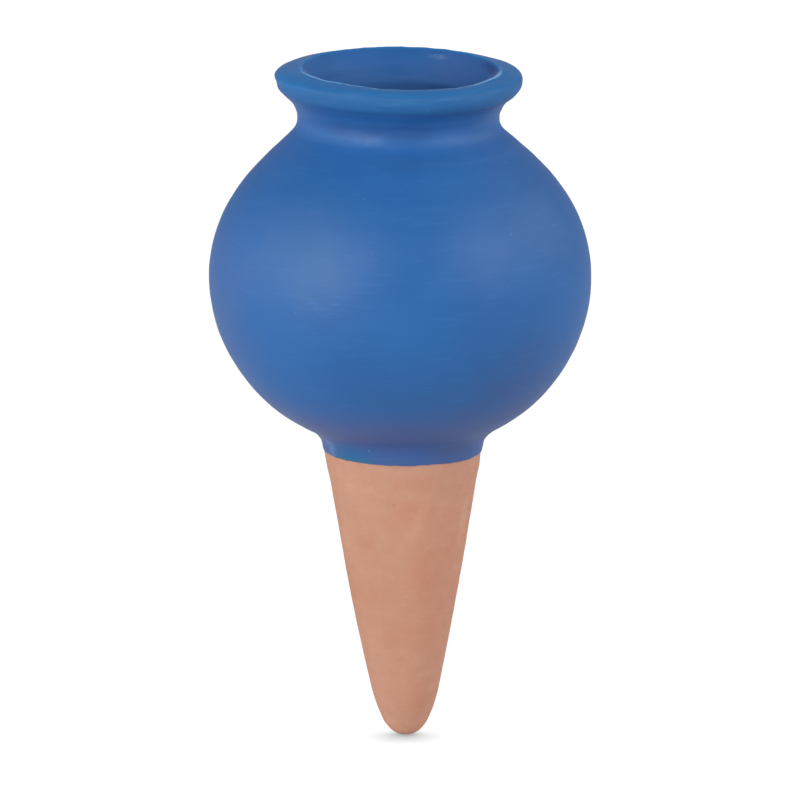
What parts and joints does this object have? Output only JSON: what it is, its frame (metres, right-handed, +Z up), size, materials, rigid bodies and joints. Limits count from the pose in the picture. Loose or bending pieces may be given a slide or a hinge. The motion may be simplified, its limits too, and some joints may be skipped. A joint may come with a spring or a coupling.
{
  "type": "self watering spike",
  "caption": "Painted terracotta watering globe with a flared open neck on a bare porous conical spike, pushed into soil so that water seeps out to the roots.",
  "frame": {"origin": "on the axis at the soil line, where the paint ends and the bare spike begins", "axes": "+Z up along the axis, from the spike to the filling mouth; X and Y are level and alike"},
  "size_m": [0.1, 0.1, 0.1779],
  "materials": {
    "bare_terracotta": "unglazed, matt, porous",
    "terracotta_body": "unglazed, matt, under the paint and inside",
    "clay_slip": "unglazed, matt",
    "blue_paint": "matt to satin brushed paint"
  },
  "bodies": {
    "root": {"porous_spike": "bare_terracotta", "spike_luting_ring": "clay_slip", "reservoir_globe": "terracotta_body", "neck_luting_ring": "clay_slip", "flared_neck": "terracotta_body", "outer_paint_coat": "blue_paint", "mouth_paint_coat": "blue_paint"}
  },
  "joints": []
}
